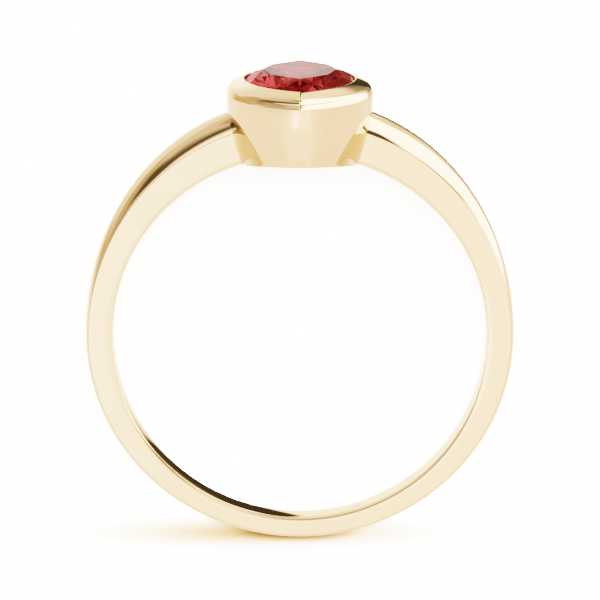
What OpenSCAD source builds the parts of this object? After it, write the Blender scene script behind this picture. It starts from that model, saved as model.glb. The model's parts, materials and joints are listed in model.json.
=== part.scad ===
// Gemstone ring: a solitaire with a marquise-cut red stone in a bezel, on a band that widens
// and domes towards the head. It lies on its side, as such a ring rests when it is put down.
// Band and bezel are soldered into one solid; the stone is a solid of its own. Millimetres.
// The ring is worked out upright: the finger hole runs along Y round the origin and the stone
// is up. rest_lean then lays it down on the bezel's lower tip and the band's lower edge.

/* [Finger hole] */
// Radius of the finger hole, 8.65 for US size 7
hole_r = 8.65; // [8:0.05:10]
// Rounding of the band's two inner edges
comfort_r = 0.3; // [0.15:0.01:0.35]

/* [Band] */
// Width of the band at the bottom
width_bottom = 1.23; // [1.1:0.01:1.8]
// Width of the band at the height of the hole's top
width_top = 2.42; // [2:0.01:2.6]
// Height of the side faces above the hole, at the bottom
face_bottom = 0.95; // [0.8:0.01:1.2]
// Height of the side faces above the hole, half way up
face_side = 1.15; // [0.9:0.01:1.3]
// Height of the side faces above the hole, at the top
face_top = 1.55; // [1.3:0.01:1.8]
// Height of the band's middle line above the hole, at the bottom
crest_bottom = 1.03; // [1:0.01:1.4]
// Height of the band's middle line above the hole, half way up
crest_side = 1.3; // [1.2:0.01:1.6]
// Height of the band's middle line above the hole, at the top
crest_top = 2.48; // [2.1:0.01:2.5]

/* [Stone] */
// Width of the stone over its girdle
stone_w = 5.4; // [5.2:0.05:5.6]
// Length of the stone over its girdle, tip to tip
stone_len = 8.48; // [8.2:0.05:9.2]
// Width of the flat table
table_w = 3.34; // [3:0.02:3.6]
// Length of the flat table
table_len = 5.64; // [5.2:0.02:5.8]
// Height of the girdle above the hole
girdle_z = 3.15; // [3.1:0.01:3.2]
// Thickness of the girdle
girdle_t = 0.06; // [0.03:0.01:0.1]
// Height of the crown, from the girdle to the table
crown_h = 0.66; // [0.6:0.01:0.8]
// Depth of the pavilion, from the girdle to the point
pavilion_h = 2.25; // [2:0.05:2.3]

/* [Bezel] */
// Metal round the stone's girdle, where the bezel is widest
bezel_wall = 0.66; // [0.55:0.01:0.75]
// How far the lip reaches in over the girdle
lip_over = 0.17; // [0.12:0.01:0.2]
// Height of the crease under the lip, above the hole
crease_z = 2.73; // [2.6:0.01:2.8]
// Height of the lip's top above the hole
lip_z = 3.42; // [3.38:0.01:3.5]
// Height above the hole where the wall starts to draw in towards the finger
belly_z = 2.55; // [2.4:0.01:2.6]
// Radius of the wall's upright curve below that height
belly_r = 7.75; // [7:0.05:12]
// Width of the ledge that carries the stone
ledge_w = 0.55; // [0.45:0.01:0.6]
// Gap between the stone and the metal
seat_gap = 0.04; // [0.02:0.01:0.05]

/* [Hidden] */

gold = [0.94, 0.83, 0.6];
ruby = [0.62, 0.05, 0.1];

// A marquise outline is two arcs of one radius, centred lens_c to either side of the middle.
// Each ring of the bezel shares these centres, so half its width sets the whole ring.
half_w = stone_w / 2;
half_len = stone_len / 2;
lens_c = (half_len * half_len - half_w * half_w) / stone_w;
lens_r = half_w + lens_c;
function tip_y(half) = sqrt(pow(half + lens_c, 2) - lens_c * lens_c);

// Heights from the hole's centre
girdle = hole_r + girdle_z;
table = girdle + crown_h;
culet = girdle - girdle_t - pavilion_h;
crease = hole_r + crease_z;
lip = hole_r + lip_z;
belly = hole_r + belly_z;

// How far a cutter or a hidden end reaches past the face that it serves
over_cut = 0.2;
// Sides of the round cutters and of the bezel's two round solids
HOLE_FN = 180;
HEAD_FN = 96;

// The band, as a function of the angle from the top
BAND_STEP = 4;
DOME_STEPS = 8;
band_start = 15.5;
band_sections = round((360 - 2 * band_start) / BAND_STEP);
rounding_angles = [20, 55, 90];

function band_half(z) =
    (width_bottom + (width_top - width_bottom) * (z + hole_r) / (2 * hole_r)) / 2;
function swell(bottom, side, top, a) =
    side + ((cos(a) > 0 ? top : bottom) - side) * pow(cos(a), 2);
function face_r(a) = hole_r + swell(face_bottom, face_side, face_top, a);
function crest_r(a) = hole_r + swell(crest_bottom, crest_side, crest_top, a);

// Half a section through the band at angle a: [half width, radius] from the hole outwards
function inner_edge(a) = [
    for (t = rounding_angles)
        let (r = hole_r + comfort_r * (1 - cos(t)))
            [band_half(r * cos(a)) - comfort_r * (1 - sin(t)), r]
];
function dome(a) =
    let (
        edge = band_half(face_r(a) * cos(a)),
        rise = crest_r(a) - face_r(a),
        arc_r = (edge * edge + rise * rise) / (2 * rise),
        reach = asin(edge / arc_r)
    )
        [for (i = [0:DOME_STEPS / 2 - 1])
            let (t = reach * (1 - 2 * i / DOME_STEPS))
                [arc_r * sin(t), crest_r(a) - arc_r * (1 - cos(t))]];
function half_section(a) = concat(
    [[band_half(hole_r * cos(a)) - comfort_r, hole_r - over_cut]],
    inner_edge(a),
    dome(a)
);
function backwards(points) = [for (i = [len(points) - 1:-1:0]) points[i]];
function section(a) =
    let (half = half_section(a))
        concat(half, [[0, crest_r(a)]], [for (p = backwards(half)) [-p[0], p[1]]]);
function on_ring(p, a) = [p[1] * sin(a), p[0], p[1] * cos(a)];

// A tube of equal rings of points with flat ends
function tube_faces(rings, per_ring) = concat(
    [[for (i = [0:per_ring - 1]) i]],
    [for (s = [0:rings - 2], i = [0:per_ring - 1])
        let (a = s * per_ring + i, b = s * per_ring + (i + 1) % per_ring)
            [a, a + per_ring, b + per_ring, b]],
    [[for (i = [per_ring - 1:-1:0]) (rings - 1) * per_ring + i]]
);

// Heights and half widths of the bezel's outside and of the hollow that holds the stone
LIP_STEPS = 6;
BELLY_STEPS = 4;
lip_half = half_w - lip_over;
outer_half = half_w + bezel_wall;
bezel_foot = sqrt(hole_r * hole_r - outer_half * outer_half) - over_cut;
crown_slope = crown_h / (half_w - table_w / 2);
pavilion_slope = pavilion_h / half_w;
ledge_half = half_w - ledge_w;
function belly_half(z) = outer_half - belly_r + sqrt(belly_r * belly_r - pow(belly - z, 2));
outer_profile = concat(
    [for (i = [0:BELLY_STEPS])
        let (z = bezel_foot + (belly - bezel_foot) * i / BELLY_STEPS)
            [belly_half(z), z]],
    [for (i = [0:LIP_STEPS])
        let (t = 90 * i / LIP_STEPS)
            [lip_half + (outer_half - lip_half) * cos(t), crease + (lip - crease) * sin(t)]]
);
hollow_profile = [
    [ledge_half, bezel_foot - over_cut],
    [ledge_half, girdle - girdle_t - ledge_w * pavilion_slope - seat_gap],
    [half_w + seat_gap, girdle - girdle_t - seat_gap],
    [half_w + seat_gap, girdle + seat_gap],
    [lip_half, girdle + lip_over * crown_slope + 2 * seat_gap],
    [lip_half, lip + over_cut]
];

// The stone: eight main facets round the crown and eight under the girdle. Each main facet
// faces one direction in plan, meets the table at a corner and the girdle at a point.
// The two azimuths are those of the slanting facets, seen from their arcs' centres.
// The star facets end STAR_DROP of the way down the crown, and the lower girdle facets
// LOWER_RISE of the way up the pavilion.
TABLE_AZ = 29.2;
MAIN_AZ = 34;
STAR_DROP = 0.37;
LOWER_RISE = 0.24;
tip_az = acos(lens_c / lens_r);
table_c = (table_len * table_len - table_w * table_w) / (4 * table_w);
table_r = table_w / 2 + table_c;
// Corners for one quarter, east to north, as [x, y] from an arc's centre offset and radius
function arc_point(r, c, az) = [r * cos(az) - c, r * sin(az)];
quarter_table = [[table_w / 2, 0], arc_point(table_r, table_c, TABLE_AZ), [0, table_len / 2]];
quarter_main = [[half_w, 0], arc_point(lens_r, lens_c, MAIN_AZ), [0, half_len]];
quarter_half = [
    arc_point(lens_r, lens_c, MAIN_AZ / 2),
    arc_point(lens_r, lens_c, (MAIN_AZ + tip_az) / 2)
];
quarter_dir = [[1, 0], [cos(MAIN_AZ), sin(MAIN_AZ)], [0, 1]];
function flip_x(p) = [-p[0], p[1]];
function all_round(q) = [
    q[0], q[1], q[2], flip_x(q[1]), -q[0], -q[1], -q[2], -flip_x(q[1])
];
table_pts = all_round(quarter_table);
main_pts = all_round(quarter_main);
main_dir = all_round(quarter_dir);
half_pts = [
    quarter_half[0], quarter_half[1], flip_x(quarter_half[1]), flip_x(quarter_half[0]),
    -quarter_half[0], -quarter_half[1], -flip_x(quarter_half[1]), -flip_x(quarter_half[0])
];
// The point p with p * u = a and p * v = b
function meet(u, a, v, b) =
    [a * v[1] - b * u[1], u[0] * b - v[0] * a] / (u[0] * v[1] - u[1] * v[0]);
function crown_run(i) =
    main_dir[i] * table_pts[i] + STAR_DROP * (main_dir[i] * (main_pts[i] - table_pts[i]));
function star_pt(i) =
    let (j = (i + 1) % 8)
        meet(main_dir[i], crown_run(i), main_dir[j], crown_run(j));
function lower_pt(i) =
    let (j = (i + 1) % 8)
        meet(main_dir[i], LOWER_RISE * (main_dir[i] * main_pts[i]),
             main_dir[j], LOWER_RISE * (main_dir[j] * main_pts[j]));
function at_z(points, z) = [for (p = points) [p[0], p[1], z]];
stone_points = concat(
    at_z(table_pts, table),
    [for (i = [0:7]) [star_pt(i)[0], star_pt(i)[1], table - STAR_DROP * crown_h]],
    at_z(main_pts, girdle),
    at_z(half_pts, girdle),
    at_z(main_pts, girdle - girdle_t),
    at_z(half_pts, girdle - girdle_t),
    [for (i = [0:7]) [lower_pt(i)[0], lower_pt(i)[1], culet + LOWER_RISE * pavilion_h]],
    [[0, 0, culet]]
);
// Where each group of eight starts in the list
STAR = 8;
MAIN = 16;
HALF = 24;
UNDER = 32;
UNDER_HALF = 40;
LOWER = 48;
CULET = 56;
stone_faces = concat(
    [[for (i = [7:-1:0]) i]],
    [for (i = [0:7]) let (j = (i + 1) % 8, h = (i + 7) % 8) each [
        [i, j, STAR + i],
        [i, STAR + i, MAIN + i, STAR + h],
        [STAR + i, HALF + i, MAIN + i],
        [STAR + i, MAIN + j, HALF + i],
        [MAIN + i, HALF + i, UNDER_HALF + i, UNDER + i],
        [HALF + i, MAIN + j, UNDER + j, UNDER_HALF + i],
        [LOWER + i, UNDER + i, UNDER_HALF + i],
        [LOWER + i, UNDER_HALF + i, UNDER + j],
        [CULET, LOWER + h, UNDER + i, LOWER + i]
    ]]
);

// The ring rests on the bezel's lower tip and on the outer edge of the band's bottom: the
// steepest line from that edge to the tip's upright profile is the floor
rest_z = -face_r(180);
rest_lean = max([for (p = outer_profile)
    if (p[1] > hole_r) atan((tip_y(p[0]) - band_half(rest_z)) / (p[1] - rest_z))]);
module at_rest() rotate([rest_lean - 90, 0, 0]) children();

// A solid with a marquise plan: what two round solids share
module marquise(profile) {
    turned = concat([[0, profile[0][1]]], [for (p = profile) [p[0] + lens_c, p[1]]],
                    [[0, profile[len(profile) - 1][1]]]);
    intersection() {
        translate([lens_c, 0, 0]) rotate_extrude($fn = HEAD_FN) polygon(turned);
        translate([-lens_c, 0, 0]) rotate_extrude($fn = HEAD_FN) polygon(turned);
    }
}

module band() {
    points = [
        for (s = [0:band_sections])
            let (a = band_start + s * (360 - 2 * band_start) / band_sections)
                for (p = section(a)) on_ring(p, a)
    ];
    polyhedron(points, tube_faces(band_sections + 1, len(section(0))), convexity = 4);
}

module finger_hole()
    rotate([90, 0, 0]) cylinder(r = hole_r, h = 2 * stone_len, center = true, $fn = HOLE_FN);

module band_and_bezel() {
    color(gold) at_rest() difference() {
        union() {
            band();
            difference() {
                marquise(outer_profile);
                marquise(hollow_profile);
            }
        }
        finger_hole();
    }
}

module stone() color(ruby) at_rest() polyhedron(stone_points, stone_faces, convexity = 2);

band_and_bezel();
stone();
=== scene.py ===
"""Gemstone ring lying on a pale floor: polished gold band and bezel, marquise-cut red stone.

The ring is worked out upright, with its finger hole along Y round the origin and the stone
up, and to_row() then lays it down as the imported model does. Everything is in metres.
"""
import json
import math
from collections import namedtuple

import bpy
import numpy as np
from mathutils import Matrix, Vector


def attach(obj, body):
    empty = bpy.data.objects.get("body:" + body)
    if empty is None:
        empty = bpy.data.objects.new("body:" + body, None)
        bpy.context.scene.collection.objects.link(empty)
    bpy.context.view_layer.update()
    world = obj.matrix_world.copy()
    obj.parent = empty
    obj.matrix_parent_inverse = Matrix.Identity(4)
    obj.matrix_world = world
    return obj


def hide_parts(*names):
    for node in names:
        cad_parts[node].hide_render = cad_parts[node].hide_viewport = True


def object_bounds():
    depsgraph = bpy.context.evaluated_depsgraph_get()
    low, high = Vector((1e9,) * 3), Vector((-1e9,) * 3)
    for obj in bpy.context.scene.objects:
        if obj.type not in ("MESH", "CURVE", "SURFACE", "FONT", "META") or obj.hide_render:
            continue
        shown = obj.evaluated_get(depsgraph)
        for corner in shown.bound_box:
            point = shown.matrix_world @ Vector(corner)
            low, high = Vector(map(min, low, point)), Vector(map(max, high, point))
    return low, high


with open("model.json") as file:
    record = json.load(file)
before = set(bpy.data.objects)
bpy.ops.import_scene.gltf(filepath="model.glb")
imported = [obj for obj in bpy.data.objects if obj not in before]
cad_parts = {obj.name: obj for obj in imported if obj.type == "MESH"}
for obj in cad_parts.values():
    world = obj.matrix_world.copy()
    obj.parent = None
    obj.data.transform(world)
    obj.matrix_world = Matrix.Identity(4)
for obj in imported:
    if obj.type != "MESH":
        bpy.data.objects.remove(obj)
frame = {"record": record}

cad_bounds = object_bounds()

# Finger hole and band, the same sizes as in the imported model. The faces and the crest, the
# band's middle line, have their heights above the hole at the bottom, half way up and at the top.
HOLE_R = 0.00865
COMFORT_R = 0.0003
WIDTH_BOTTOM, WIDTH_TOP = 0.00123, 0.00242
FACE_BOTTOM, FACE_SIDE, FACE_TOP = 0.00095, 0.00115, 0.00155
CREST_BOTTOM, CREST_SIDE, CREST_TOP = 0.00103, 0.0013, 0.00248
BAND_START = math.radians(15.5)

# Stone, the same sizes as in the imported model
HALF_W, HALF_LEN = 0.0027, 0.00424
TABLE_W, CROWN_H, PAVILION_H = 0.00334, 0.00066, 0.00225
GIRDLE_Z, GIRDLE_T = HOLE_R + 0.00315, 0.00006
CROWN_SLOPE = CROWN_H / (HALF_W - TABLE_W / 2)
PAVILION_SLOPE = PAVILION_H / HALF_W

# Bezel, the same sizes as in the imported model
BEZEL_WALL, LIP_OVER, LEDGE_W, SEAT_GAP = 0.00066, 0.00017, 0.00055, 0.00004
CREASE_Z, LIP_Z, BELLY_Z = HOLE_R + 0.00273, HOLE_R + 0.00342, HOLE_R + 0.00255
BELLY_R = 0.00775
OUTER_HALF = HALF_W + BEZEL_WALL
LIP_HALF = HALF_W - LIP_OVER
LEDGE_HALF = HALF_W - LEDGE_W

# A marquise outline is two arcs, centred this far to either side of the middle
LENS_C = (HALF_LEN ** 2 - HALF_W ** 2) / (2 * HALF_W)

# Roundings of the dressed model: the band's outer edges, the oval ones between its inner wall
# and side faces, the bezel's foot outside and inside, and the tips of its wall and lip
EDGE_R = 0.00015
INNER_EDGE_X, INNER_EDGE_Y = 0.00006, 0.00028
FOOT_R, FOOT_INNER_R = 0.00012, 0.00006
WALL_TIP_R, LIP_TIP_R = 0.0012, 0.00018

# How far the band's swollen inner wall has turned where its edge begins
COMFORT_TILT = math.radians(4)

# The lip's section: a short flank, a shoulder and a broad crown. The angles are how far each
# one's outward direction has turned up where it starts.
FLANK_TILT, CROWN_TILT, CROWN_END = (math.radians(a) for a in (14, 60, 71))
SHOULDER_R = 0.00042
LIP_EDGE_R = 0.00005

# Steps too small to show, which keep surfaces and lines from coinciding: the foot from the hole,
# the lines just under and on the crease, and the band's ends that sink into the bezel's metal
HIDDEN_STEP = 0.000004
CREASE_DROP, CREASE_INSET = 0.00001, 0.000001
SINK = 0.00002

# How finely the shapes are divided
BAND_STEP = math.radians(1)
OVAL_STEPS, ROUND_STEPS, DOME_STEPS = 10, 8, 20
ARC_STEPS, TIP_STEPS = 60, 10
SHOULDER_STEPS, CROWN_STEPS, LIP_EDGE_STEPS = 16, 12, 10
FOOT_TURNS = np.radians(np.arange(0, 91, 11.25))
FOOT_INNER_TURNS = np.radians(np.arange(0, 91, 22.5))

# Where lines cross a face, as shares of the way over it; those near its ends keep it evenly lit
FACE_SHARES = (0.03, 0.35, 0.65, 0.97, 1)
FLANK_SHARES = (0.03, 0.5, 0.97, 1)
WALL_SHARES = np.concatenate([[0.02], np.arange(1, 24) / 24, [0.98]])
BACK_SHARES = (0.05, 0.3, 0.6, 0.95)

# Faces that meet at more than this angle have a crisp seam
SHARP_ANGLE = math.radians(24)

# Camera, in the upright ring's frame
CAMERA_DISTANCE = 0.150
CAMERA_ELEVATION = math.radians(12.9)
CAMERA_TARGET = Vector((0.00001, 0, 0.00166))
FOCAL_PX, IMAGE_PX, SENSOR_MM = 3235, 600, 36
NEAREST, FARTHEST = 0.01, 5

# Studio that the gold mirrors. Azimuth turns from straight behind the upright ring towards its
# right, and elevation from level to straight up. A card has half sizes along its length and its
# height, a roll that lifts the end of greater azimuth, and soft edges, all in degrees. Its level
# times its tint is its light. Later cards cover earlier ones.
Card = namedtuple("Card", "azimuth elevation half_u half_v roll soft_u soft_v level tint")
PALE, CREAM, TAN, BROWN = (1, 0.66, 0.5), (1, 0.64, 0.42), (1, 0.62, 0.36), (1, 0.76, 0.52)
SURROUND = (3.9, 2.25, 1.55)
CARDS = [
    # bright ground in front, a brighter patch on it, and the shaded floor before the ring
    Card(180, -8, 50, 24, 0, 60, 26, 5.8, (1, 0.62, 0.42)),
    Card(-162, -14, 14, 7, 0, 20, 6, 8.2, (1, 0.58, 0.46)),
    Card(180, -35, 60, 13.5, 0, 40, 8, 4.8, (1, 0.6, 0.42)),
    # ceiling and the light behind
    Card(-25, 52, 30, 22, 0, 16, 16, 3.0, CREAM),
    Card(0, -6, 22, 30, 0, 18, 16, 5, (1, 0.68, 0.38)),
    # softbox on the right
    Card(95, 33, 60, 33, 0, 14, 8, 14, (1, 0.66, 0.45)),
    # tan wall on the left, its lighter end behind, and its dimmer parts
    Card(-95, 36, 60, 29, 0, 34, 12, 2.0, CREAM),
    Card(-45, 30, 14, 18, 0, 18, 14, 3.2, CREAM),
    Card(-90, 22, 30, 15, 0, 14, 8, 1.25, TAN),
    Card(-101, 25, 17, 15, 0, 12, 8, 0.5, BROWN),
    Card(-92, 70, 32, 8, 0, 20, 8, 0.3, BROWN),
    # brown band along the horizon, in front on the left and round to the side
    Card(-140, 3, 46, 11, 0, 14, 7, 1.3, PALE),
    Card(-62, 2, 22, 7, 0, 20, 8, 1.3, (1, 0.6, 0.28)),
    # dark strip on the wall, the light line under it and the window beside them
    Card(-128, 51, 36, 7, -14, 24, 14, 0.7, BROWN),
    Card(-118, 40, 36, 6.5, -18, 26, 11, 0.2, BROWN),
    Card(-127, 26, 20, 3, -15, 12, 3, 5, PALE),
    Card(-148, 30, 18, 6, -8, 8, 6, 7, PALE),
    # tan surround and black flag, behind on the right
    Card(35, 24, 11, 36, -20, 10, 16, 2.7, TAN),
    Card(21, 14, 10, 17, 8, 8, 12, 0.6, BROWN),
    Card(7, 42, 5.5, 20, 3, 4, 8, 0.12, BROWN),
    Card(9, 23, 7, 6, 22, 6, 10, 0.3, BROWN),
    Card(12.2, 10.6, 5.2, 13.2, 22, 4, 2, 0.1, BROWN),
    Card(7.6, 11.2, 3.5, 13.2, 22, 2, 2, 0.1, BROWN),
    # grey cards that the stone's table and left facets mirror
    Card(0, 8.8, 2.2, 1.8, 0, 1, 1, 1.9, (0.9, 1, 0.95)),
    Card(-9.9, 15.8, 1.1, 1.1, 0, 0.8, 0.8, 1.7, (0.85, 1, 0.95)),
    Card(-8.5, 3, 1.1, 1.1, 0, 0.8, 0.8, 0.8, (0.8, 0.9, 1)),
    # dark above on the right
    Card(90, 78, 80, 12, 0, 24, 8, 0.26, BROWN),
    # brown gap in front on the right, and the dark over it
    Card(149, 11, 23, 7.5, -42, 8, 6, 0.9, TAN),
    Card(122, 24, 30, 4.5, 6, 14, 6, 1.0, TAN),
    Card(160, 30, 16, 13, 0, 14, 8, 0.2, BROWN),
]

# Plain light that the camera sees past the floor, the dim warm light that fills the floor's
# shadows, and the lamp that lights the floor
BACKDROP, FLOOR_FILL = (14, 14, 14, 1), (4, 3.2, 2.1, 1)
LAMP_PLACE = (0.02, 0.06, 0.6)
LAMP_SIZE, LAMP_POWER = 0.3, 60

# Middle part of a noise's range, over which one tone turns into the other
NOISE_LOW, NOISE_HIGH = 0.35, 0.65

# Floor: half its side, the two tones of its paper and how fine they are, and its roughness
FLOOR_HALF = 0.5
PAPER_LOW, PAPER_HIGH, PAPER_SCALE = (0.88, 0.83, 0.72, 1), (0.9, 0.85, 0.75, 1), 60
PAPER_ROUGHNESS = 0.9

# Painted shadow: soft tan shade painted into the floor's colour where the band's bottom touches
# it, standing in for its contact shadow. Its depth is how much red, green and blue it takes at its
# middle, as powers of e, and it fades out through the stops.
PaintedShadow = namedtuple("PaintedShadow", "place half_sizes depth")
PAINTED_SHADOWS = [
    PaintedShadow((-0.0017, -0.0094), (0.0102, 0.00095), (2.6, 3.4, 4.3)),
    PaintedShadow((-0.0001, -0.0095), (0.0031, 0.0004), (1.4, 1.5, 1.7)),
]
PAINTED_SHADOW_STOPS = (0.06, 0.14, 0.25, 0.4, 0.6, 0.8)

# Gold: the two tones of the alloy, the roughness of its polish, and how fine both patterns are
GOLD_LOW, GOLD_HIGH, ALLOY_SCALE = (0.49, 0.43, 0.28, 1), (0.51, 0.45, 0.3, 1), 350
ROUGH_LOW, ROUGH_HIGH, POLISH_SCALE = 0.02, 0.06, 1800

# Stone: the tints of its clouds, what its body keeps of the light per length, and the power
# that makes a facet mirror only when it is seen along its face
STONE_IOR = 1.77
STONE_DEEP, STONE_CLEAR, CLOUD_SCALE = (0.3, 0.13, 0.16, 1), (0.42, 0.22, 0.25, 1), 900
STONE_BODY, STONE_DENSITY = (0.52, 0.16, 0.22, 1), 360
# Painted light: a faint red glow that the stone gives off of its own, though it is no lamp
STONE_PAINTED_GLOW = (0.19, 0.045, 0.045, 1)
MIRROR_POWER = 6

# The hole's axis in the record is the upright ring's -Y, so it gives the lean
hole_axis = Vector(frame["record"]["mounts"][0]["axis"])
LEAN = math.atan2(-hole_axis.y, hole_axis.z)
TO_ROW = Matrix.Rotation(LEAN - math.pi / 2, 3, "X")


def to_row(points):
    """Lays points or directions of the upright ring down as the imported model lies."""
    return np.asarray(points) @ np.array(TO_ROW).T


def arc(cx, cy, r, start, end, steps):
    """Points of an arc, with its first point left out so that arcs can follow each other."""
    turn = start + (end - start) * np.arange(1, steps + 1) / steps
    return np.stack([cx + r * np.cos(turn), cy + r * np.sin(turn)], axis=1)


def between(p, q, shares):
    """Points at the given shares of the way from p to q."""
    p, q = np.array(p), np.array(q)
    return np.array([p + (q - p) * s for s in shares])


def ring_faces(rings, points, closed=False):
    """Faces between rings of points; closed joins the last ring to the first."""
    faces = []
    for ring in range(rings if closed else rings - 1):
        here, there = ring * points, (ring + 1) % rings * points
        for i in range(points):
            k = (i + 1) % points
            faces.append((here + i, here + k, there + k, there + i))
    return faces


def new_mesh(name, points, faces):
    mesh = bpy.data.meshes.new(name)
    mesh.from_pydata(to_row(points).tolist(), [], faces)
    mesh.validate()
    return mesh


def new_object(data):
    obj = bpy.data.objects.new(data.name, data)
    bpy.context.scene.collection.objects.link(obj)
    return obj


def band_half(z):
    """Half the band's width at a height."""
    return (WIDTH_BOTTOM + (WIDTH_TOP - WIDTH_BOTTOM) * (z + HOLE_R) / (2 * HOLE_R)) / 2


def swell(bottom, side, top, a):
    """Distance from the hole's axis at angle a, from the heights above the hole."""
    return HOLE_R + side + ((top if math.cos(a) > 0 else bottom) - side) * math.cos(a) ** 2


def band_section(a, sink):
    """Closed section of the band at angle a from the top: [across the band, radius].

    sink is how far its inner wall and inner edges move away from the finger.
    """
    face = swell(FACE_BOTTOM, FACE_SIDE, FACE_TOP, a)
    crest = swell(CREST_BOTTOM, CREST_SIDE, CREST_TOP, a)
    edge = band_half(face * math.cos(a))
    rise = crest - face
    dome_r = (edge ** 2 + rise ** 2) / (2 * rise)
    dome_y = crest - dome_r
    # The rounding of the outer edge touches the side face and the dome
    round_y = dome_y + math.sqrt((dome_r - EDGE_R) ** 2 - (edge - EDGE_R) ** 2)
    meet = math.atan2(round_y - dome_y, edge - EDGE_R)
    # The inner wall swells towards the finger, and its oval rounding touches it and the side face
    swell_r = edge / math.sin(COMFORT_TILT)
    swell_y = HOLE_R + swell_r
    lean = math.atan(INNER_EDGE_X / INNER_EDGE_Y * (edge - INNER_EDGE_X) / swell_r)
    inner_meet = -math.acos((edge - INNER_EDGE_X * (1 - math.sin(lean))) / swell_r)
    inner_y = swell_y + swell_r * math.sin(inner_meet) + INNER_EDGE_Y * math.cos(lean)
    oval = arc(0, 0, 1, lean - math.pi / 2, 0, OVAL_STEPS) * (INNER_EDGE_X, INNER_EDGE_Y)
    half = np.concatenate([
        [[0, HOLE_R]],
        arc(0, swell_y, swell_r, -math.pi / 2, inner_meet, ROUND_STEPS),
        oval + (edge - INNER_EDGE_X, inner_y),
        between((edge, inner_y), (edge, round_y), FACE_SHARES),
        arc(edge - EDGE_R, round_y, EDGE_R, 0, meet, ROUND_STEPS),
        arc(0, dome_y, dome_r, meet, math.pi / 2, DOME_STEPS),
    ])
    half[:, 0] *= [band_half(r * math.cos(a)) / edge for r in half[:, 1]]
    half[:, 1] += sink * (half[:, 1] < HOLE_R + COMFORT_R)
    return np.concatenate([half, (half * (-1, 1))[-2:0:-1]])


def band_mesh():
    sections = round((2 * math.pi - 2 * BAND_START) / BAND_STEP)
    turns = BAND_START + (2 * math.pi - 2 * BAND_START) * np.arange(sections + 1) / sections
    rings = [band_section(a, SINK if i in (0, sections) else 0) for i, a in enumerate(turns)]
    n = len(rings[0])
    points = [(r * math.sin(a), x, r * math.cos(a)) for a, ring in zip(turns, rings) for x, r in ring]
    faces = ring_faces(len(rings), n)
    faces.append(tuple(range(n))[::-1])
    faces.append(tuple(sections * n + i for i in range(n)))
    return new_mesh("band", points, faces)


def belly_half(z):
    """Half width of the bezel's wall at a height at or below its widest."""
    return OUTER_HALF - BELLY_R + np.sqrt(BELLY_R ** 2 - (BELLY_Z - z) ** 2)


def foot_z(x):
    """Height of the bezel's foot, which the finger hole scoops out."""
    return np.sqrt((HOLE_R + HIDDEN_STEP) ** 2 - x ** 2)


def quarter_plan(half, tip_r):
    """A quarter of a marquise outline with rounded tips, for one half width or one per point."""
    radius = half + LENS_C
    meet = np.arccos(LENS_C / (radius - tip_r))
    tip_y = np.sqrt((radius - tip_r) ** 2 - LENS_C ** 2)
    i = np.arange(ARC_STEPS + TIP_STEPS + 1)
    on_arc = i <= ARC_STEPS
    tip_turn = meet + (math.pi / 2 - meet) * (i - ARC_STEPS) / TIP_STEPS
    turn = np.where(on_arc, meet * i / ARC_STEPS, tip_turn)
    x = np.where(on_arc, radius * np.cos(turn) - LENS_C, tip_r * np.cos(turn))
    y = np.where(on_arc, radius * np.sin(turn), tip_y + tip_r * np.sin(turn))
    return x, y


def bezel_level(half_of_z, z_of_x, tip_r=LIP_TIP_R):
    """One line round the bezel: its height follows x, and its half width may follow height."""
    n = ARC_STEPS + TIP_STEPS + 1
    half = np.full(n, OUTER_HALF)
    # Half width and height depend on each other, and settle within a few rounds
    for _ in range(8):
        x, y = quarter_plan(half, tip_r)
        z = z_of_x(x) * np.ones(n)
        half = half_of_z(z) * np.ones(n)
    x, y = quarter_plan(half, tip_r)
    quarter = np.stack([x, y, z], axis=1)
    back = quarter[::-1]
    return np.concatenate([
        quarter, (back * (-1, 1, 1))[1:], (quarter * (-1, -1, 1))[1:], (back * (1, -1, 1))[1:-1]
    ])


def flat_level(half, z, tip_r=LIP_TIP_R):
    return bezel_level(lambda _: half, lambda _: z, tip_r)


def lip_profile():
    """Half widths and heights of the lip, from just above the crease to its inner edge."""
    def turn(radius, start, end):
        return radius * np.array([math.cos(end) - math.cos(start), math.sin(end) - math.sin(start)])

    # The flank's length and the crown's radius are what makes the parts reach from end to end
    edge = turn(LIP_EDGE_R, CROWN_END, math.pi)
    edge[1] = LIP_EDGE_R * (1 - math.sin(CROWN_END))
    whole = np.array([LIP_HALF - OUTER_HALF, LIP_Z - CREASE_Z])
    reach = whole - edge - turn(SHOULDER_R, FLANK_TILT, CROWN_TILT)
    flank = np.array([-math.sin(FLANK_TILT), math.cos(FLANK_TILT)])
    bend = turn(1, CROWN_TILT, CROWN_END)
    length, crown_r = np.linalg.solve(np.stack([flank, bend], axis=1), reach)
    points = [np.array([OUTER_HALF, CREASE_Z]) + flank * length * s for s in FLANK_SHARES]
    for radius, start, end, steps in ((SHOULDER_R, FLANK_TILT, CROWN_TILT, SHOULDER_STEPS),
                                      (crown_r, CROWN_TILT, CROWN_END, CROWN_STEPS),
                                      (LIP_EDGE_R, CROWN_END, math.pi, LIP_EDGE_STEPS)):
        foot = points[-1]
        for i in range(1, steps + 1):
            points.append(foot + turn(radius, start, start + (end - start) * i / steps))
    return points


def outer_levels():
    """Lines round the bezel from its underside over the foot, the wall and the lip."""
    levels = [
        bezel_level(
            lambda z: belly_half(z + FOOT_R * math.cos(t)) - FOOT_R * (1 - math.sin(t)),
            lambda x: foot_z(x) + FOOT_R * (1 - math.cos(t)), WALL_TIP_R)
        for t in FOOT_TURNS
    ]
    levels += [
        bezel_level(
            belly_half, lambda x: foot_z(x) + FOOT_R + s * (BELLY_Z - foot_z(x) - FOOT_R), WALL_TIP_R)
        for s in WALL_SHARES
    ]
    levels += [
        flat_level(OUTER_HALF, z, WALL_TIP_R)
        for z in np.linspace(BELLY_Z, CREASE_Z - CREASE_DROP, 3)
    ]
    levels.append(flat_level(OUTER_HALF - CREASE_INSET, CREASE_Z))
    return levels + [flat_level(half, z) for half, z in lip_profile()]


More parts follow.
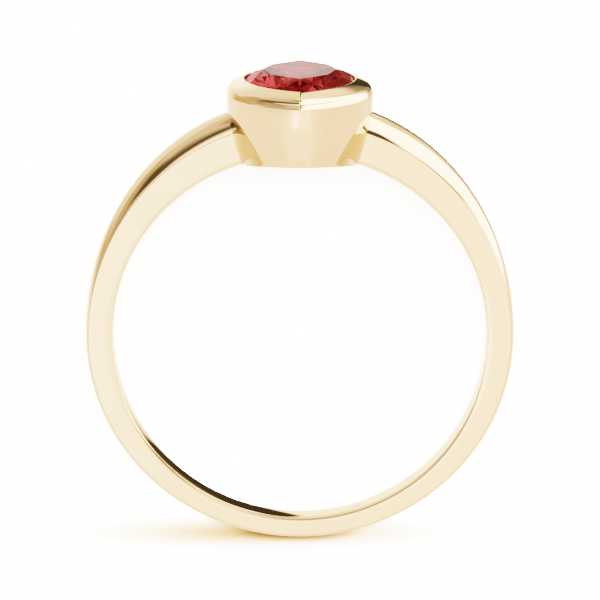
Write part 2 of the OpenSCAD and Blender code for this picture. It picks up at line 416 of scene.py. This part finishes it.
def hollow_levels():
    """Lines down the inside: the lip's wall, the groove round the girdle, the seat and the back."""
    seat_z = GIRDLE_Z - GIRDLE_T - (HALF_W - LEDGE_HALF) * PAVILION_SLOPE - SEAT_GAP
    levels = [
        flat_level(LIP_HALF, GIRDLE_Z + (HALF_W - LIP_HALF) * CROWN_SLOPE + 2 * SEAT_GAP),
        flat_level(HALF_W + SEAT_GAP, GIRDLE_Z + SEAT_GAP),
        flat_level(HALF_W + SEAT_GAP, GIRDLE_Z - GIRDLE_T - SEAT_GAP),
        flat_level(LEDGE_HALF, seat_z),
    ]
    levels += [
        bezel_level(lambda _: LEDGE_HALF, lambda x: seat_z + s * (foot_z(x) + FOOT_INNER_R - seat_z))
        for s in BACK_SHARES
    ]
    levels += [
        bezel_level(
            lambda _: LEDGE_HALF + FOOT_INNER_R * (1 - math.cos(t)),
            lambda x: foot_z(x) + FOOT_INNER_R * (1 - math.sin(t)))
        for t in FOOT_INNER_TURNS
    ]
    return levels


def bezel_mesh():
    levels = outer_levels() + hollow_levels()
    faces = ring_faces(len(levels), len(levels[0]), closed=True)
    return new_mesh("bezel", np.concatenate(levels), faces)


def face_outwards(mesh):
    """Turns the faces outwards, going by the sign of the enclosed volume."""
    volume = 0
    for face in mesh.polygons:
        ring = [mesh.vertices[i].co for i in face.vertices]
        volume += sum(ring[0].dot(p.cross(q)) for p, q in zip(ring[1:], ring[2:]))
    if volume < 0:
        mesh.flip_normals()


def gold_body():
    """Band and bezel fused into one body, with smooth faces and crisp seams."""
    body, bezel = new_object(band_mesh()), new_object(bezel_mesh())
    for obj in (body, bezel):
        face_outwards(obj.data)
    union = body.modifiers.new("union", "BOOLEAN")
    union.operation, union.solver, union.object = "UNION", "EXACT", bezel
    shape = body.evaluated_get(bpy.context.evaluated_depsgraph_get())
    fused = bpy.data.meshes.new_from_object(shape)
    bpy.data.objects.remove(bezel)
    body.modifiers.clear()
    body.data, body.name = fused, "gold_body"
    fused.shade_smooth()
    fused.set_sharp_from_angle(angle=SHARP_ANGLE)
    return body


def shader(name):
    material = bpy.data.materials.new(name)
    material.use_nodes = True
    return material, material.node_tree.nodes, material.node_tree.links


def noise(nodes, links, scale, detail=3):
    """Noise over the object's own coordinates, from 0 to 1 and the same each run."""
    texture = nodes.new("ShaderNodeTexNoise")
    texture.inputs["Scale"].default_value = scale
    texture.inputs["Detail"].default_value = detail
    links.new(nodes.new("ShaderNodeTexCoord").outputs["Object"], texture.inputs["Vector"])
    return texture.outputs["Fac"]


def tones(nodes, links, factor, low, high):
    """Colours that turn from one tone into the other as a noise rises."""
    ramp = nodes.new("ShaderNodeValToRGB")
    ends = ramp.color_ramp.elements
    ends[0].position, ends[0].color = NOISE_LOW, low
    ends[1].position, ends[1].color = NOISE_HIGH, high
    links.new(factor, ramp.inputs["Fac"])
    return ramp.outputs["Color"]


def gold_material():
    """Mirror polish with the faint haze and tone changes of a hand-buffed surface."""
    material, nodes, links = shader("polished_gold")
    surface = nodes["Principled BSDF"]
    surface.inputs["Metallic"].default_value = 1
    alloy = tones(nodes, links, noise(nodes, links, ALLOY_SCALE), GOLD_LOW, GOLD_HIGH)
    links.new(alloy, surface.inputs["Base Color"])
    polish = nodes.new("ShaderNodeMapRange")
    links.new(noise(nodes, links, POLISH_SCALE, detail=5), polish.inputs["Value"])
    polish.inputs["To Min"].default_value = ROUGH_LOW
    polish.inputs["To Max"].default_value = ROUGH_HIGH
    links.new(polish.outputs["Result"], surface.inputs["Roughness"])
    return material


def stone_material():
    """Clear crimson with faint clouds and a faint painted glow of its own.

    A facet seen face on only lets light in. Seen along its face, or from inside the stone, it
    mirrors as well.
    """
    material, nodes, links = shader("red_stone")
    clouds = tones(nodes, links, noise(nodes, links, CLOUD_SCALE), STONE_DEEP, STONE_CLEAR)
    mirror = nodes["Principled BSDF"]
    # the emission is painted light: a faint red glow of the stone's own
    for name, value in (("Transmission Weight", 1), ("Specular IOR Level", 0), ("IOR", STONE_IOR),
                        ("Roughness", 0), ("Emission Color", STONE_PAINTED_GLOW), ("Emission Strength", 1)):
        mirror.inputs[name].default_value = value
    links.new(clouds, mirror.inputs["Base Color"])
    window = nodes.new("ShaderNodeBsdfRefraction")
    window.inputs["IOR"].default_value = STONE_IOR
    window.inputs["Roughness"].default_value = 0
    links.new(clouds, window.inputs["Color"])

    along = nodes.new("ShaderNodeLayerWeight")
    along.inputs["Blend"].default_value = 0.5
    steep = nodes.new("ShaderNodeMath")
    steep.operation = "POWER"
    links.new(along.outputs["Facing"], steep.inputs[0])
    steep.inputs[1].default_value = MIRROR_POWER
    mirrors = nodes.new("ShaderNodeMath")
    mirrors.operation = "MAXIMUM"
    links.new(steep.outputs[0], mirrors.inputs[0])
    links.new(nodes.new("ShaderNodeNewGeometry").outputs["Backfacing"], mirrors.inputs[1])
    choose = nodes.new("ShaderNodeMixShader")
    links.new(mirrors.outputs[0], choose.inputs["Fac"])
    links.new(window.outputs[0], choose.inputs[1])
    links.new(mirror.outputs[0], choose.inputs[2])

    absorb = nodes.new("ShaderNodeVolumeAbsorption")
    absorb.inputs["Color"].default_value = STONE_BODY
    absorb.inputs["Density"].default_value = STONE_DENSITY
    links.new(choose.outputs[0], nodes["Material Output"].inputs["Surface"])
    links.new(absorb.outputs[0], nodes["Material Output"].inputs["Volume"])
    return material


def with_painted_shadow(nodes, links, colour, haze):
    """A colour with one painted shadow over it, which lies on the floor by the floor's own
    coordinates.
    """
    mapping, fade = nodes.new("ShaderNodeMapping"), nodes.new("ShaderNodeTexGradient")
    mapping.vector_type, fade.gradient_type = "TEXTURE", "SPHERICAL"
    mapping.inputs["Location"].default_value = haze.place + (cad_bounds[0][2],)
    mapping.inputs["Scale"].default_value = haze.half_sizes + (1,)
    links.new(nodes.new("ShaderNodeTexCoord").outputs["Object"], mapping.inputs["Vector"])
    links.new(mapping.outputs["Vector"], fade.inputs["Vector"])
    ramp = nodes.new("ShaderNodeValToRGB")
    stops = ramp.color_ramp.elements
    stops[0].color = (1, 1, 1, 1)
    for share in PAINTED_SHADOW_STOPS:
        stops.new(share)
    for stop in stops[1:]:
        # painted shade: each stop darkens the colour more towards the shadow's middle
        stop.color = [math.exp(-part * stop.position) for part in haze.depth] + [1]
    links.new(fade.outputs["Fac"], ramp.inputs["Fac"])
    mix = nodes.new("ShaderNodeMix")
    mix.data_type, mix.blend_type = "RGBA", "MULTIPLY"
    mix.inputs["Factor"].default_value = 1
    links.new(colour, mix.inputs["A"])
    links.new(ramp.outputs["Color"], mix.inputs["B"])
    return mix.outputs["Result"]


def floor_material():
    """Matt pale paper with a contact shadow painted into its colour by the ring."""
    material, nodes, links = shader("pale_floor")
    surface = nodes["Principled BSDF"]
    colour = tones(nodes, links, noise(nodes, links, PAPER_SCALE), PAPER_LOW, PAPER_HIGH)
    # painted shadows: tan shade laid into the paper's colour under the band's bottom
    for haze in PAINTED_SHADOWS:
        colour = with_painted_shadow(nodes, links, colour, haze)
    links.new(colour, surface.inputs["Base Color"])
    surface.inputs["Roughness"].default_value = PAPER_ROUGHNESS
    surface.inputs["Specular IOR Level"].default_value = 0
    return material


def make_camera():
    data = bpy.data.cameras.new("camera")
    data.sensor_width, data.lens = SENSOR_MM, FOCAL_PX / IMAGE_PX * SENSOR_MM
    data.clip_start, data.clip_end = NEAREST, FARTHEST
    cos_e, sin_e = math.cos(CAMERA_ELEVATION), math.sin(CAMERA_ELEVATION)
    back, up = Vector((0, -cos_e, sin_e)), Vector((0, sin_e, cos_e))
    turn = TO_ROW @ Matrix((up.cross(back), up, back)).transposed()
    place = TO_ROW @ (CAMERA_TARGET + CAMERA_DISTANCE * back)
    camera = new_object(data)
    camera.matrix_world = Matrix.Translation(place) @ turn.to_4x4()
    bpy.context.scene.camera = camera


def make_floor():
    """Pale floor that the gold and the stone don't mirror; they mirror the studio."""
    z = cad_bounds[0][2]
    corners = [(x * FLOOR_HALF, y * FLOOR_HALF, z) for x, y in ((-1, -1), (1, -1), (1, 1), (-1, 1))]
    mesh = bpy.data.meshes.new("floor")
    mesh.from_pydata(corners, [], [(0, 1, 2, 3)])
    floor = new_object(mesh)
    floor.data.materials.append(floor_material())
    floor.visible_glossy = False
    floor.visible_transmission = False


def make_lamp():
    """A wide soft lamp over the floor; the gold doesn't mirror it."""
    light = bpy.data.lights.new("floor_lamp", "AREA")
    light.shape, light.size, light.energy = "DISK", LAMP_SIZE, LAMP_POWER
    lamp = new_object(light)
    lamp.location = LAMP_PLACE
    lamp.rotation_euler = (-Vector(LAMP_PLACE)).to_track_quat("-Z", "Y").to_euler()
    lamp.visible_glossy = False
    lamp.visible_transmission = False


def make_world():
    """Soft cards painted over a plain surround, by azimuth and elevation round the upright ring."""
    world = bpy.data.worlds.new("studio")
    bpy.context.scene.world = world
    world.use_nodes = True
    nodes, links = world.node_tree.nodes, world.node_tree.links

    def wire(value, socket):
        if isinstance(value, bpy.types.NodeSocket):
            links.new(value, socket)
        else:
            socket.default_value = value

    def math_node(operation, *values):
        node = nodes.new("ShaderNodeMath")
        node.operation = operation
        for value, socket in zip(values, node.inputs):
            wire(value, socket)
        return node.outputs[0]

    def inside(distance, soft):
        """1 inside, 0 outside, over a soft band round the line where distance is 0."""
        node = nodes.new("ShaderNodeMapRange")
        node.interpolation_type = "SMOOTHSTEP"
        wire(distance, node.inputs["Value"])
        node.inputs["From Min"].default_value = -soft / 2
        node.inputs["From Max"].default_value = soft / 2
        return node.outputs[0]

    def card_mask(card):
        """1 on the card, 0 off it; side and lift are how far a direction is from its middle."""
        side = math_node("WRAP", math_node("SUBTRACT", azimuth, card.azimuth), 180, -180)
        lift = math_node("SUBTRACT", elevation, card.elevation)
        cos_r, sin_r = math.cos(math.radians(card.roll)), math.sin(math.radians(card.roll))
        u = math_node("MULTIPLY_ADD", side, cos_r, math_node("MULTIPLY", lift, sin_r))
        v = math_node("MULTIPLY_ADD", lift, cos_r, math_node("MULTIPLY", side, -sin_r))
        mask = 1
        for offset, half, soft in ((u, card.half_u, card.soft_u), (v, card.half_v, card.soft_v)):
            inset = math_node("SUBTRACT", half, math_node("ABSOLUTE", offset))
            mask = math_node("MULTIPLY", mask, inside(inset, soft))
        return mask

    turned = nodes.new("ShaderNodeVectorRotate")
    turned.rotation_type = "X_AXIS"
    links.new(nodes.new("ShaderNodeTexCoord").outputs["Generated"], turned.inputs["Vector"])
    turned.inputs["Angle"].default_value = math.pi / 2 - LEAN
    split = nodes.new("ShaderNodeSeparateXYZ")
    links.new(turned.outputs[0], split.inputs[0])
    x, y, z = split.outputs
    azimuth = math_node("DEGREES", math_node("ARCTAN2", x, y))
    elevation = math_node("DEGREES", math_node("ARCSINE", z))

    colour = SURROUND + (1,)
    for card in CARDS:
        mix = nodes.new("ShaderNodeMix")
        mix.data_type = "RGBA"
        wire(card_mask(card), mix.inputs["Factor"])
        wire(colour, mix.inputs["A"])
        mix.inputs["B"].default_value = [card.level * part for part in card.tint] + [1]
        colour = mix.outputs["Result"]
    mirrored = nodes["Background"]
    wire(colour, mirrored.inputs["Color"])

    ray = nodes.new("ShaderNodeLightPath")
    shown = mirrored.outputs[0]
    for kind, light in (("Is Camera Ray", BACKDROP), ("Is Diffuse Ray", FLOOR_FILL)):
        plain, choose = nodes.new("ShaderNodeBackground"), nodes.new("ShaderNodeMixShader")
        plain.inputs["Color"].default_value = light
        links.new(ray.outputs[kind], choose.inputs["Fac"])
        links.new(shown, choose.inputs[1])
        links.new(plain.outputs[0], choose.inputs[2])
        shown = choose.outputs[0]
    links.new(shown, nodes["World Output"].inputs["Surface"])


make_camera()
body = gold_body()
body.data.materials.append(gold_material())
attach(body, "root")
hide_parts("band_and_bezel")
stone = bpy.data.objects["stone"]
stone.material_slots[0].material = stone_material()
make_floor()
make_lamp()
make_world()

view = bpy.context.scene.view_settings
view.view_transform, view.look = "Filmic", "High Contrast"
